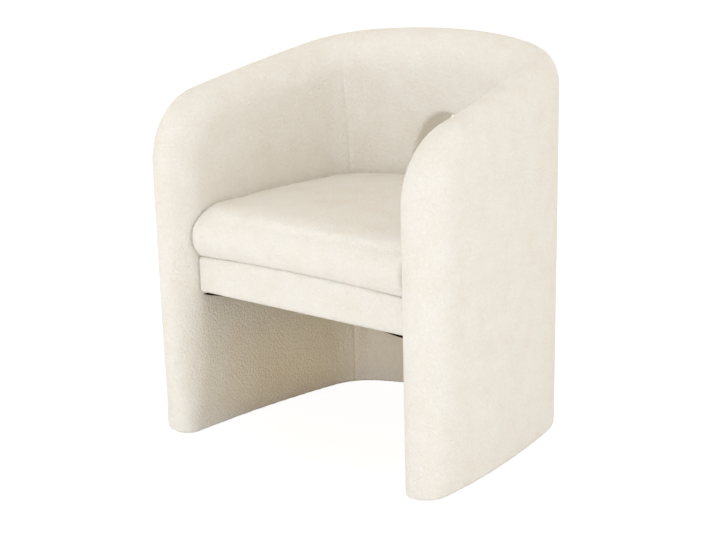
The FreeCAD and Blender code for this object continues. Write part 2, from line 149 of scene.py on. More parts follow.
# How full the covers are, how far the filling pushes them out, and the grids they are made on
SEAT_PRESSURE = 4
SEAT_SWELL = 6 * MM
APRON_PRESSURE = 2
APRON_SWELL = 2 * MM
WALL_VOXEL = 3.6 * MM
CUSHION_VOXEL = 6 * MM
APRON_VOXEL = 4 * MM
DUST_ROWS = 90
DUST_COLUMNS = 81
STRIP_ROWS = 40  # along each arc
STRIP_COLUMNS = 9

Arc = namedtuple("Arc", "x y radius")


def plan_arcs():
    """The three arcs of the wall's inner face: along the arm, in the corner, across the back."""
    cos1, sin1 = math.cos(SIDE_ANGLE), math.sin(SIDE_ANGLE)
    cos2, sin2 = math.cos(BACK_ANGLE), math.sin(BACK_ANGLE)
    across = SEAT_WIDTH / 2 - CORNER_RADIUS * (cos1 - cos2)
    along = SEAT_DEPTH - CORNER_RADIUS * (sin2 - sin1)
    scale = (1 - cos1) * (1 - sin2) - cos2 * sin1
    side = (across * (1 - sin2) - cos2 * along) / scale
    back = ((1 - cos1) * along - sin1 * across) / scale
    side_x = SEAT_WIDTH / 2 - side
    corner_x = side_x + cos1 * (side - CORNER_RADIUS)
    corner_y = FRONT_Y + sin1 * (side - CORNER_RADIUS)
    back_y = FRONT_Y + SEAT_DEPTH - back
    return Arc(side_x, FRONT_Y, side), Arc(corner_x, corner_y, CORNER_RADIUS), Arc(0, back_y, back)


SIDE, CORNER, BACK = plan_arcs()


# Forms: each takes points (n, 3) and gives a signed distance, negative inside

def rounded(a, b, radius):
    """What lies inside both, with a round along the edge where they meet."""
    corner = np.hypot(np.maximum(a + radius, 0), np.maximum(b + radius, 0))
    return np.minimum(np.maximum(a, b), -radius) + corner


def plan_offset(p):
    """Distance out from the inner face of the U."""
    x, y = np.abs(p[:, 0]), p[:, 1]
    turn = np.arctan2(y - CORNER.y, x - CORNER.x)
    side, corner, back = (np.hypot(x - arc.x, y - arc.y) - arc.radius for arc in (SIDE, CORNER, BACK))
    return np.where(turn < SIDE_ANGLE, side, np.where(turn > BACK_ANGLE, back, corner))


def wall_at(z):
    return WALL_AT_FLOOR + (WALL_AT_TOP - WALL_AT_FLOOR) * z / BACK_HEIGHT


def smooth(t):
    t = np.clip(t, 0, 1)
    return t * t * (3 - 2 * t)


def outline(p):
    """Distance in from the arms' front and top line, and its turn from 0 upright to 1 on top."""
    y, z = p[:, 1], p[:, 2]
    front = y - FRONT_Y
    top = (ARM_HEIGHT + math.tan(SLOPE) * front - z) * math.cos(SLOPE)
    centre_y = FRONT_Y + ARM_CORNER
    centre_z = ARM_HEIGHT + math.tan(SLOPE) * ARM_CORNER - ARM_CORNER / math.cos(SLOPE)
    turn = np.arctan2(z - centre_z, centre_y - y) / (math.pi / 2 - SLOPE)
    corner = ARM_CORNER - np.hypot(y - centre_y, z - centre_z)
    inside = np.where((turn > 0) & (turn < 1), corner, np.minimum(front, top))
    return inside, smooth(turn)


def arch(p):
    """The opening, seen from the front."""
    x, z = np.abs(p[:, 0]), p[:, 2]
    rise = OPENING_TOP - OPENING_SPRING
    side = rise * rise / OPENING_HALF
    gap = ((side - OPENING_HALF) ** 2 + (side - rise) ** 2) / (2 * (side - rise))
    turn = math.acos((side - OPENING_HALF) / gap)
    side_x = OPENING_HALF - side
    over_side = np.hypot(x - side_x, z - OPENING_SPRING) - side
    over_crown = np.hypot(x, z - OPENING_SPRING - gap * math.sin(turn)) - (side - gap)
    crown = np.arctan2(z - OPENING_SPRING, x - side_x) > turn
    upper = np.where(crown, over_crown, over_side)
    lower = rounded(x - OPENING_HALF, OPENING_SILL - z, SILL_ROUND)
    return np.where(z > OPENING_SPRING, upper, lower)


def wall_form(p):
    """The padded U-shaped wall with its opening."""
    z = p[:, 2]
    offset = plan_offset(p)
    foot = (1 - smooth((z - WALL_LOW) / FOOT_HEIGHT)) * (1 - smooth((p[:, 1] - FRONT_Y) / FOOT_REACH))
    rightward = smooth(0.5 + p[:, 0] / SEAT_WIDTH)
    pairs = (FOOT_DEPTH, FOOT_CREST, FOOT_TUCK, FOOT_TUCK_OUTSIDE)
    foot_depth, foot_crest, tuck, outside = (left + (right - left) * rightward for left, right in pairs)
    tuck = tuck * foot
    wall = wall_at(z) - tuck - outside * foot
    half = wall / 2
    inside, turned = outline(p)
    crest = wall * (FRONT_CREST + (TOP_CREST - FRONT_CREST) * turned + (foot_crest - FRONT_CREST) * foot)
    from_crest = offset - tuck - crest
    sides = np.where(from_crest < 0, -from_crest / crest, from_crest / (wall - crest))
    depth = FRONT_DEPTH + (TOP_DEPTH - FRONT_DEPTH) * turned + (foot_depth - FRONT_DEPTH) * foot
    form = rounded((sides - 1) * half, -inside * half / depth, half)
    form = rounded(form, WALL_LOW - z, FOOT_ROUND)
    through = np.where(p[:, 1] > 0, arch(p), 1.0)
    return rounded(form, -through, RIM_ROUND)


def long_seam(p):
    """Zero on the seam where the outside panels meet the fabric wrapped over the fronts and the top."""
    return plan_offset(p) - wall_at(p[:, 2]) + SEAM_SETBACK


def corner_seam(p):
    """Zero on the upright seams in the rear corners."""
    x, y = np.abs(p[:, 0]), p[:, 1]
    turn = SEAM_ANGLE - SEAM_LEAN * smooth((p[:, 2] - SEAT_EDGE) / (BACK_HEIGHT - SEAT_EDGE))
    return (y - CORNER.y) * np.cos(turn) - (x - CORNER.x) * np.sin(turn)


def lining_edge(p):
    """Negative on the lining, inside the opening."""
    offset = plan_offset(p)
    near = np.maximum(LINING_INSET - offset, offset - wall_at(p[:, 2]) + LINING_INSET)
    behind = np.where(p[:, 1] > 0, arch(p), 1.0)
    return np.maximum(near, behind - RIM_ROUND / 4)


def front_bow(p):
    """Rise of the line between the cushion and the apron."""
    across = FRONT_BOW * (1 - (p[:, 0] / (SEAT_WIDTH / 2)) ** 2)
    return (across - FRONT_DIP) * (1 - smooth((p[:, 1] - CUSHION_FRONT) / (2 * CUSHION_CHIN)))


def cushion_form(p):
    """The seat: crowned, with a bullnose front."""
    x, y, z = p.T
    nose_z = CUSHION_LOW + CUSHION_NOSE
    rise = SEAT_EDGE - nose_z
    reach = SEAT_WIDTH / 2
    middle = FRONT_Y + SEAT_DEPTH / 2
    fall = (x / reach) ** 2 + CROWN_FALL * ((y - middle) / reach) ** 2
    crown = SEAT_CROWN * np.clip(1 - fall, CROWN_LEAST, 1)
    back = y - CUSHION_FRONT
    chin = np.hypot(np.minimum(back - CUSHION_CHIN, 0), z - nose_z) - CUSHION_CHIN
    chin = rounded(chin, CUSHION_LOW + front_bow(p) - z, CUSHION_LIP)
    brow = np.hypot(np.minimum(back / CUSHION_BROW - 1, 0), (z - nose_z) / rise) * rise - rise
    profile = np.where(z < nose_z, chin, brow - crown * smooth(back / (2 * CUSHION_BROW)))
    return rounded(profile, plan_offset(p) + SEAT_GAP, CUSHION_EDGE)


def apron_form(p):
    """The band under the seat's front, turned over the rail behind it."""
    y, z = p[:, 1], p[:, 2]
    depth = np.maximum(APRON_LOW.y - y, y - APRON_HIGH.y)
    level = np.maximum(APRON_LOW.z - APRON_SAG - z, z - APRON_HIGH.z - front_bow(p))
    return rounded(rounded(depth, level, APRON_ROUND), plan_offset(p) + APRON_GAP, APRON_END_ROUND)


def gradient(form, p, step=0.2 * MM):
    """Outward direction of a form at points near its surface."""
    slopes = []
    for axis in np.eye(3):
        slopes.append((form(p + step * axis) - form(p - step * axis)) / (2 * step))
    return np.stack(slopes, axis=1)


def drawn_onto(form, p, rounds=8, most=4 * MM, flattest=0.05):
    """The points, moved onto the surface of a form by at most a step a round."""
    for _ in range(rounds):
        slope = gradient(form, p)
        square = np.maximum((slope ** 2).sum(1), flattest)
        move = np.clip(form(p) / square, -most, most)
        p = p - move[:, None] * slope
    return p


# Mesh tools

def coordinates(mesh):
    flat = np.empty(len(mesh.vertices) * 3, np.float32)
    mesh.vertices.foreach_get("co", flat)
    return flat.reshape(-1, 3).astype(float)


def move_points(mesh, p):
    mesh.vertices.foreach_set("co", p.astype(np.float32).ravel())
    mesh.update()


def new_object(name, mesh):
    made = bpy.data.objects.new(name, mesh)
    bpy.context.scene.collection.objects.link(made)
    return made


def applied(piece):
    """The piece with its modifiers made part of its mesh."""
    graph = bpy.context.evaluated_depsgraph_get()
    old = piece.data
    piece.data = bpy.data.meshes.new_from_object(piece.evaluated_get(graph))
    piece.modifiers.clear()
    bpy.data.meshes.remove(old)
    return piece


def grid_values(form, axes):
    """A form at every point of a grid, worked out slice by slice."""
    y, z = (plane.ravel() for plane in np.meshgrid(axes[1], axes[2], indexing="ij"))
    slices = [form(np.stack([np.full(y.size, x), y, z], axis=1)) for x in axes[0]]
    return np.stack(slices).reshape([len(axis) for axis in axes])


def relaxed(p, ends):
    """Points moved to the middle of their neighbours."""
    total, count = np.zeros_like(p), np.zeros(len(p))
    for a, b in (ends.T, ends.T[::-1]):
        np.add.at(total, a, p[b])
        np.add.at(count, a, 1)
    return total / count[:, None]


def skin_of(form, box, voxel):
    """Even quads over the surface of a form: its points and faces.

    One point stands in each grid cell that the surface passes, and one quad crosses
    each grid edge that it cuts.
    """
    axes = [np.arange(low - 2 * voxel, high + 3 * voxel, voxel) for low, high in zip(*box)]
    inside = grid_values(form, axes) < 0
    cells = np.zeros(np.array(inside.shape) - 1, int)
    for i, j, k in np.ndindex(2, 2, 2):
        cells += inside[i:, j:, k:][:cells.shape[0], :cells.shape[1], :cells.shape[2]]
    mixed = (cells > 0) & (cells < 8)
    index = np.full(cells.shape, -1)
    index[mixed] = np.arange(mixed.sum())
    p = np.stack([axis[place] for axis, place in zip(axes, np.nonzero(mixed))], axis=1) + voxel / 2
    quads = []
    for axis in range(3):
        turned = np.moveaxis(inside, axis, 0)
        around = np.moveaxis(index, axis, 0)
        starts = turned[:-1, 1:-1, 1:-1]
        i, j, k = np.nonzero(starts != turned[1:, 1:-1, 1:-1])
        corners = ((j, k), (j + 1, k), (j + 1, k + 1), (j, k + 1))
        ring = np.stack([around[i, row, column] for row, column in corners], axis=1)
        flip = starts[i, j, k] == (axis == 1)
        ring[flip] = ring[flip][:, ::-1]
        quads.append(ring)
    faces = np.concatenate(quads)
    ends = np.concatenate([faces[:, [n, (n + 1) % 4]] for n in range(4)])
    p = drawn_onto(form, p)
    for _ in range(3):
        p = drawn_onto(form, relaxed(p, ends), rounds=3)
    return p, faces


def cut_along(bm, field, voxel):
    """New edges along the zero line of a field over the surface.

    Points close to the line count as on it, and an edge over a jump in the field isn't cut.
    """
    p = np.array([v.co for v in bm.verts])
    values = field(p)
    values[np.abs(values) < voxel / 6] = 0.0
    on_line = {bm.verts[i] for i in np.flatnonzero(values == 0.0)}
    bm.verts.index_update()
    ends = np.array([[e.verts[0].index, e.verts[1].index] for e in bm.edges])
    a, b = values[ends[:, 0]], values[ends[:, 1]]
    bm.edges.ensure_lookup_table()
    crossed = np.flatnonzero((a * b < 0) & (abs(a - b) < 4 * voxel))
    crossing = [(bm.edges[i], a[i] / (a[i] - b[i])) for i in crossed]
    touched = set()
    for edge, share in crossing:
        touched.update(edge.link_faces)
        _, vert = bmesh.utils.edge_split(edge, edge.verts[0], share)
        on_line.add(vert)
    for face in touched:
        cuts = [v for v in face.verts if v in on_line]
        if len(cuts) == 2 and not any(cuts[1] in e.verts for e in cuts[0].link_edges):
            bmesh.utils.face_split(face, cuts[0], cuts[1])
    bm.verts.ensure_lookup_table()
    bm.verts.index_update()


def panel(name, p, faces):
    """A piece from some faces of a larger skin."""
    used = sorted({int(i) for face in faces for i in face})
    place = {old: new for new, old in enumerate(used)}
    mesh = bpy.data.meshes.new(name)
    mesh.from_pydata(p[used].tolist(), [], [[place[int(i)] for i in face] for face in faces])
    piece = new_object(name, mesh)
    shade_smooth(piece)
    return piece


def seam_relief(distance):
    """How far the fabric sinks at a seam and swells beside it."""
    dip = np.exp(-(distance / SEAM_HALF) ** 2)
    swell = np.exp(-((np.abs(distance) - 4 * SEAM_HALF) / (3 * SEAM_HALF)) ** 2)
    return SEAM_SWELL * swell - SEAM_DEPTH * dip


def inflated(piece, form, pressure, cap, frames=20):
    """The points of a form's skin after its filling has pushed it out, none further than cap.

    The cover is a light cloth that gives a little under the pressure.
    """
    start = coordinates(piece.data)
    cloth = piece.modifiers.new("filling", "CLOTH")
    cloth.settings.quality = 5
    cloth.settings.mass = 0.3
    cloth.settings.tension_stiffness = 15
    cloth.settings.compression_stiffness = 15
    cloth.settings.bending_stiffness = 0.5
    cloth.settings.use_pressure = True
    cloth.settings.uniform_pressure_force = pressure
    cloth.settings.effector_weights.gravity = 0
    cloth.point_cache.frame_start = 1
    cloth.point_cache.frame_end = frames
    scene = bpy.context.scene
    for step in range(1, frames + 1):
        scene.frame_set(step)
    applied(piece)
    scene.frame_set(1)
    outward = gradient(form, start)
    outward /= np.maximum(np.linalg.norm(outward, axis=1), 1e-6)[:, None]
    swell = ((coordinates(piece.data) - start) * outward).sum(1)
    return start + outward * np.clip(swell, 0, cap)[:, None]


def subdivide(piece):
    levels = piece.modifiers.new("finer", "SUBSURF")
    levels.levels = levels.render_levels = 1
    shade_smooth(applied(piece))


def shade_smooth(piece):
    piece.data.polygons.foreach_set("use_smooth", [True] * len(piece.data.polygons))
    piece.data.update()


def finish_piece(piece, material, nodes=()):
    """The piece dressed and hung from the root body, with the CAD nodes that it stands for hidden."""
    piece.data.materials.clear()
    piece.data.materials.append(material)
    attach(piece, "root")
    if nodes:
        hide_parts(*nodes)


# Materials

def linear(hex_colour):
    """An sRGB hex colour as linear RGBA."""
    parts = [int(hex_colour[i:i + 2], 16) / 255 for i in (1, 3, 5)]
    return [c / 12.92 if c <= 0.04045 else ((c + 0.055) / 1.055) ** 2.4 for c in parts] + [1]


def add(tree, kind, *values, settings=(), stops=(), **named):
    """A node with its settings, a ramp's (place, hex colour) stops, and its sockets set or linked.

    Sockets are given in their order, or by name with _ for a space.
    """
    node = tree.nodes.new(kind)
    for key, value in dict(settings).items():
        setattr(node, key, value)
    marks = node.color_ramp.elements if stops else ()
    while len(marks) < len(stops):
        marks.new(0.5)
    for mark, (place, colour) in zip(marks, stops):
        mark.position = place
        mark.color = linear(colour)
    sockets = [socket for socket in node.inputs if socket.enabled]
    names = [socket.name.replace(" ", "_") for socket in sockets]
    given = list(zip(sockets, values)) + [(sockets[names.index(key)], named[key]) for key in named]
    for socket, value in given:
        if isinstance(value, bpy.types.NodeSocket):
            tree.links.new(value, socket)
        else:
            socket.default_value = value
    return node


def surface(name, **values):
    """A new material with its shader set by socket name, its tree and Object coordinates."""
    material = bpy.data.materials.new(name)
    material.use_nodes = True
    tree = material.node_tree
    shader = tree.nodes["Principled BSDF"]
    for key, value in values.items():
        shader.inputs[key.replace("_", " ")].default_value = value
    return material, tree, tree.nodes.new("ShaderNodeTexCoord").outputs["Object"]


def coloured(material, colour, height, strength, depth):
    """The material with its colour and its relief joined to the shader."""
    tree = material.node_tree
    shader = tree.nodes["Principled BSDF"]
    bump = add(tree, "ShaderNodeBump", Strength=strength, Distance=depth, Height=height)
    tree.links.new(colour, shader.inputs["Base Color"])
    tree.links.new(bump.outputs["Normal"], shader.inputs["Normal"])
    return material


def boucle():
    """Boucle of looped wool yarn: curled nubs that shade one another, matt with a soft sheen.

    The fibres are drawn about three times as coarse as real ones, so that they show.
    """
    nub, fibre, cloud = 5.0 * MM, 1.6 * MM, 45 * MM
    material, tree, place = surface("looped wool boucle", Roughness=0.95, Specular_IOR_Level=0.2,
                                    Sheen_Weight=0.15, Sheen_Roughness=0.5)
    wander = add(tree, "ShaderNodeTexNoise", Vector=place, Scale=1 / (1.5 * nub), Detail=2.0)
    bent = add(tree, "ShaderNodeVectorMath", wander.outputs["Color"], [0.8 * nub] * 3, place,
               settings={"operation": "MULTIPLY_ADD"}).outputs[0]
    nubs = add(tree, "ShaderNodeTexVoronoi", settings={"feature": "SMOOTH_F1"},
               Vector=bent, Scale=1 / nub, Smoothness=0.4)
    fibres = add(tree, "ShaderNodeTexNoise", Vector=bent, Scale=1 / fibre, Detail=3.0, Roughness=0.6)
    height = add(tree, "ShaderNodeMath", nubs.outputs["Distance"], -1.0, fibres.outputs["Fac"],
                 settings={"operation": "MULTIPLY_ADD"}).outputs[0]
    # Painted shade: the yarn's colour follows the nubs' height, darker in the pits between them and lighter
    # on their crests
    yarn = add(tree, "ShaderNodeValToRGB", height,
               stops=[(0.0, "#EDE9E0"), (0.3, "#F0EDE5"), (0.7, "#F2F0E9")])
    drift = add(tree, "ShaderNodeTexNoise", Vector=place, Scale=1 / cloud, Detail=2.0)
    tint = add(tree, "ShaderNodeValToRGB", drift.outputs["Fac"], stops=[(0.3, "#FCFAF7"), (0.7, "#FFFFFF")])
    colour = add(tree, "ShaderNodeMix", settings={"data_type": "RGBA", "blend_type": "MULTIPLY"},
                 Factor=1.0, A=yarn.outputs["Color"], B=tint.outputs["Color"])
    return coloured(material, colour.outputs[2], height, 0.9, 2.0 * MM)


def grained(name, early, late, ring, stretch):
    """Timber with its growth lines drawn out along the grain."""
    material, tree, place = surface(name, Roughness=0.6, Specular_IOR_Level=0.3)
    along = add(tree, "ShaderNodeMapping", Vector=place, Scale=stretch)
    growth = add(tree, "ShaderNodeTexNoise", Vector=along.outputs[0], Scale=1 / ring, Detail=4.0,
                 Roughness=0.55, Distortion=0.6).outputs["Fac"]
    colour = add(tree, "ShaderNodeValToRGB", growth, stops=[(0.3, late), (0.5, early), (0.75, late)])
    return coloured(material, colour.outputs["Color"], growth, 0.25, 0.3 * MM)


def gritty(name, dark, light, grain, depth, **values):
    """A surface with a fine even grit."""
    material, tree, place = surface(name, **values)
    grit = add(tree, "ShaderNodeTexNoise", Vector=place, Scale=1 / grain, Detail=3.0).outputs["Fac"]
    colour = add(tree, "ShaderNodeValToRGB", grit, stops=[(0.35, dark), (0.65, light)])
    return coloured(material, colour.outputs["Color"], grit, 0.5, depth)


def woven(name, dark, light, thread):
    """Cloth with two sets of threads that cross at their spacing."""
    material, tree, place = surface(name, Roughness=0.9, Specular_IOR_Level=0.2)
    threads = [add(tree, "ShaderNodeTexWave", settings={"bands_direction": axis}, Vector=place,
                   Scale=math.pi / (10 * thread), Distortion=0.4).outputs["Fac"] for axis in ("X", "Y")]
    cross = add(tree, "ShaderNodeMath", *threads, settings={"operation": "MULTIPLY"}).outputs[0]
    colour = add(tree, "ShaderNodeValToRGB", cross, stops=[(0.1, dark), (0.8, light)])
    return coloured(material, colour.outputs["Color"], cross, 0.4, 0.4 * MM)


BOUCLE = boucle()
# Planed beech, unfinished: warm tan with soft growth lines up the posts, matt
BEECH = grained("planed beech", "#C79A6B", "#A97A4C", 9 * MM, (1, 1, 0.08))
# Sawn birch plywood: paler, with its plies as thin level lines
PLYWOOD = grained("birch plywood", "#D2B184", "#B08A5B", 4 * MM, (0.1, 0.1, 1))
# Pressed hardboard: an even dark brown, its fibres drawn coarser than real ones so that they show
HARDBOARD = gritty("tempered hardboard", "#4A3524", "#5E4632", 2 * MM, 0.1 * MM, Roughness=0.7)
# Cut foam: dull yellow and pitted, its cells drawn coarser than real ones so that they show
FOAM = gritty("open-cell polyurethane foam", "#CDBB86", "#E2D3A2", 1.5 * MM, 0.8 * MM, Roughness=0.95)
# Woven webbing: near black, with threads that catch a little light
WEBBING = woven("elastic webbing", "#141416", "#2C2C30", 2 * MM)
# Bonded cloth: flat black, its embossed grid drawn coarser than the real one so that it shows
DUST_CLOTH = woven("black non-woven polypropylene", "#0C0C0D", "#1C1C1E", 1.6 * MM)
# Zinc-plated steel: cool grey with a broken shine
ZINC = gritty("zinc-plated steel", "#8F9194", "#B9BBBE", 1 * MM, 0.05 * MM, Roughness=0.35, Metallic=1.0)
# Moulded plastic: black with a dull shine, its mould grain drawn coarser than real so that it shows
GLIDE_PLASTIC = gritty("moulded black polypropylene", "#0D0D0E", "#19191A", 0.8 * MM, 0.05 * MM,
                       Roughness=0.5)

SLOT_MATERIALS = {
    "timber": BEECH, "plywood": PLYWOOD, "hardboard": HARDBOARD, "foam": FOAM, "webbing": WEBBING,
    "dust_cloth": DUST_CLOTH, "screw_steel": ZINC, "glide_plastic": GLIDE_PLASTIC, "boucle": BOUCLE,
}


def dress_cad_nodes():
    """The record's slot gives each CAD node its material."""
    for subpart in frame["record"]["subparts"]:
        node = frame["nodes"][subpart["node"]]
        node.data.materials.clear()
        node.data.materials.append(SLOT_MATERIALS[subpart["material_slot"]])


# Pieces

def make_wall():
    """The wall's covers, cut from one skin along their seams."""
    p, faces = skin_of(wall_form, CAD_BOX, WALL_VOXEL)
    bm = bmesh.new()
    verts = [bm.verts.new(point) for point in p]
    for face in faces:
        bm.faces.new([verts[i] for i in face])
    bm.verts.index_update()
    for field in (long_seam, corner_seam, lining_edge):
        bm.verts.ensure_lookup_table()
        cut_along(bm, field, WALL_VOXEL)
    p = np.array([v.co for v in bm.verts])
    faces = [[v.index for v in face.verts] for face in bm.faces]
    bm.free()

    centres = np.array([p[face].mean(0) for face in faces])
    outside = long_seam(centres) > 0
    behind = corner_seam(centres) > 0
    lining = lining_edge(centres) < 0
    sets = {}
    for i, face in enumerate(faces):
        side = "back" if behind[i] else ("left" if centres[i][0] < 0 else "right")
        face_of_wall = "outside" if outside[i] else "inside"
        name = "opening_lining" if lining[i] else "%s_%s_cover" % (face_of_wall, side)
        sets.setdefault(name, []).append(face)

    normals = gradient(wall_form, p)
    normals /= np.maximum(np.linalg.norm(normals, axis=1), 1e-6)[:, None]
    fade_start, fade_end = SEAM_FADE
    from_top = smooth((outline(p)[0] - fade_start) / (fade_end - fade_start))
    relief = seam_relief(corner_seam(p)) * from_top
    relief += seam_relief(long_seam(p)) * LONG_SEAM_SHARE
    relief *= smooth((p[:, 2] - WALL_LOW) / (2 * FOOT_ROUND))
    p = p + normals * relief[:, None]
    for name, chosen in sets.items():
        piece = panel(name.replace("cover", "boucle").replace("lining", "boucle"), p, chosen)
        finish_piece(piece, BOUCLE, [name])


def make_cushion():
    """The seat, pushed out by its filling and held in by the wall."""
    p, faces = skin_of(cushion_form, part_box("seat_cover"), CUSHION_VOXEL)
    piece = panel("seat_boucle", p, faces)
    p = inflated(piece, cushion_form, SEAT_PRESSURE, SEAT_SWELL)
    over = np.maximum(plan_offset(p) + SEAT_GAP, 0)
    slope = gradient(plan_offset, p)
    p = p - over[:, None] * slope
    p[:, 2] = np.maximum(p[:, 2], CUSHION_LOW + front_bow(p))
    move_points(piece.data, p)
    subdivide(piece)
    finish_piece(piece, BOUCLE, ["seat_cover"])


def make_apron():
    """The flat padded band under the seat's front."""
    p, faces = skin_of(apron_form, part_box("apron_cover"), APRON_VOXEL)
    piece = panel("apron_boucle", p, faces)
    p = inflated(piece, apron_form, APRON_PRESSURE, APRON_SWELL)
    move_points(piece.data, p)
    subdivide(piece)
    finish_piece(piece, BOUCLE, ["apron_cover"])


def seat_half(y, gap, halvings=40):
    """Half the width between the arms at some depths, less a gap, found by halving."""
    low, high = np.zeros(len(y)), np.full(len(y), SEAT_WIDTH / 2)
    for _ in range(halvings):
        middle = (low + high) / 2
        over = plan_offset(np.stack([middle, y, y], axis=1)) > -gap
        low, high = np.where(over, low, middle), np.where(over, middle, high)
    return low


def dust_level(x, y, half, front, back):
    """Height of the dust cover below its rails: a slight sag, and slack front corners."""
    along = np.clip((y - front) / (back - front), 0, 1)
    sag = DUST_SAG * np.maximum(1 - (x / half) ** 2, 0) * np.sin(math.pi * along)
    corner = np.exp(-((np.abs(x) - half) / DUST_SLACK) ** 2 - ((y - front) / DUST_SLACK) ** 2)
    return -sag - DUST_DROOP * corner


def cloth_piece(name, points, replaced):
    """A sheet from rows of points, seen from below."""
    rows, columns = points.shape[:2]
    corner = np.arange(rows * columns).reshape(rows, columns)
    around = (corner[:-1, :-1], corner[1:, :-1], corner[1:, 1:], corner[:-1, 1:])
    faces = np.stack(around, axis=-1).reshape(-1, 4)
    piece = panel(name, points.reshape(-1, 3), faces)
    finish_piece(piece, DUST_CLOTH, [replaced])


def make_dust_cover():
    """Black cloth stapled under the seat frame."""
    low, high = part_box("dust_cover")
    y = low.y + (high.y - low.y - DUST_TIP) * np.sin(np.linspace(0, math.pi / 2, DUST_ROWS))
    half = seat_half(y, DUST_GAP)
    x = half[:, None] * np.linspace(-1, 1, DUST_COLUMNS)
    y, half = (np.repeat(values[:, None], DUST_COLUMNS, axis=1) for values in (y, half))
    z = (low.z + high.z) / 2 + dust_level(x, y, half, low.y, high.y)
    cloth_piece("dust_cloth", np.stack([x, y, z], axis=-1), "dust_cover")

    inset_y = np.linspace(low.y + 2 * DUST_SLACK, high.y - STAPLE_INSET, STAPLE_LINE_POINTS)
    inset_half = seat_half(inset_y, DUST_GAP + STAPLE_INSET)
    level = low.z - STAPLE_WIRE / 4
    right = [(h, v, level) for h, v in zip(inset_half, inset_y)]
    left = [(-h, v, level) for h, v in zip(inset_half[::-1], inset_y[::-1])]
    reach = half[0, 0] - 2 * DUST_SLACK
    front = [(-reach, low.y + STAPLE_INSET, level), (reach, low.y + STAPLE_INSET, level)]
    make_staples("dust_cloth_staples", [right + left, front])


def make_staples(name, routes):
    """Wire staples along lines, at an even spacing, by geometry nodes."""
    points, edges = [], []
    for route in routes:
        start = len(points)
        points += route
        edges += [(i, i + 1) for i in range(start, len(points) - 1)]
    mesh = bpy.data.meshes.new(name)
    mesh.from_pydata(points, edges, [])
    piece = new_object(name, mesh)
    tree = bpy.data.node_groups.new(name, "GeometryNodeTree")
    tree.interface.new_socket("Lines", in_out="INPUT", socket_type="NodeSocketGeometry")
    spacing = tree.interface.new_socket("Spacing", in_out="INPUT", socket_type="NodeSocketFloat")
    crown = tree.interface.new_socket("Crown", in_out="INPUT", socket_type="NodeSocketFloat")
    wire = tree.interface.new_socket("Wire", in_out="INPUT", socket_type="NodeSocketFloat")
    tree.interface.new_socket("Staples", in_out="OUTPUT", socket_type="NodeSocketGeometry")
    given = tree.nodes.new("NodeGroupInput").outputs
    curves = add(tree, "GeometryNodeMeshToCurve", Mesh=given["Lines"])
    places = add(tree, "GeometryNodeCurveToPoints", settings={"mode": "LENGTH"},
                 Curve=curves.outputs[0], Length=given["Spacing"])
    staple = add(tree, "GeometryNodeMeshCylinder",
                 Vertices=STAPLE_SIDES, Radius=given["Wire"], Depth=given["Crown"])
    each = add(tree, "GeometryNodeInstanceOnPoints", Points=places.outputs["Points"],
               Instance=staple.outputs["Mesh"], Rotation=places.outputs["Rotation"])
    real = add(tree, "GeometryNodeRealizeInstances", Geometry=each.outputs[0])
    plated = add(tree, "GeometryNodeSetMaterial", Geometry=real.outputs[0], Material=ZINC)
    add(tree, "NodeGroupOutput", Staples=plated.outputs[0])
    modifier = piece.modifiers.new(name, "NODES")
    modifier.node_group = tree
    modifier[spacing.identifier] = STAPLE_SPACING
    modifier[crown.identifier] = STAPLE_CROWN
    modifier[wire.identifier] = STAPLE_WIRE / 2
    applied(piece)
    shade_smooth(piece)
    finish_piece(piece, ZINC)


def make_base_strip():
    """Black cloth over the turned-in edges of the covers, under the wall."""
    middle = WALL_AT_FLOOR / 2
    half = middle - STRIP_MARGIN
    front_end = math.asin(STRIP_MARGIN / (SIDE.radius + middle))
    stretches = (
        (SIDE, front_end, SIDE_ANGLE), (CORNER, SIDE_ANGLE, BACK_ANGLE), (BACK, BACK_ANGLE, math.pi / 2))
    route = []
    for arc, first, last in stretches:
        for turn in np.linspace(first, last, STRIP_ROWS)[:-1]:
            route.append((arc, turn))
    out = np.array([[math.cos(turn), math.sin(turn)] for _, turn in route])
    radii = np.array([arc.radius + middle for arc, _ in route])
    centre = np.array([[arc.x, arc.y] for arc, _ in route]) + radii[:, None] * out
    run = np.concatenate([[0], np.cumsum(np.linalg.norm(np.diff(centre, axis=0), axis=1))])
    width = half * np.sqrt(1 - np.clip(1 - run / half, 0, STRIP_BLUNT) ** 2)
    rows = centre[:, None] + out[:, None] * (width[:, None] * np.linspace(1, -1, STRIP_COLUMNS))[..., None]
    mirrored = rows[::-1] * (-1, 1)
    low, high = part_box("base_strip")
    plan = np.concatenate([rows, mirrored])
    points = np.concatenate([plan, np.full(plan.shape[:2] + (1,), (low.z + high.z) / 2)], axis=-1)
    cloth_piece("base_strip_cloth", points, "base_strip")


# Stage

LENS_PIXELS = 1887.4  # focal length in the photograph's pixels
IMAGE_WIDTH = 716
SENSOR = 36.0  # millimetres, as the camera has it
VIEW_AZIMUTH = math.radians(39.79)
VIEW_ELEVATION = math.radians(15.65)
VIEW_ROLL = math.radians(-1.48)
VIEW_DISTANCE = 3611.7 * MM
VIEW_ASIDE = -50.3 * MM
VIEW_TARGET = Vector((0, -1.1 * MM, 307.3 * MM))

FLOOR_HALF = 6  # metres
FLOOR_WARM = 0.2  # metres from the chair's middle, where the floor's tone turns
FLOOR_WHITE = 0.32
FLOOR_GLOW = 1.12
FLOOR_GLOW_SHARE = 0.85  # the rest shows the shadow
LAMP_COLOUR = "#DDE9FF"
BOUNCE_COLOUR = "#FFE8A0"


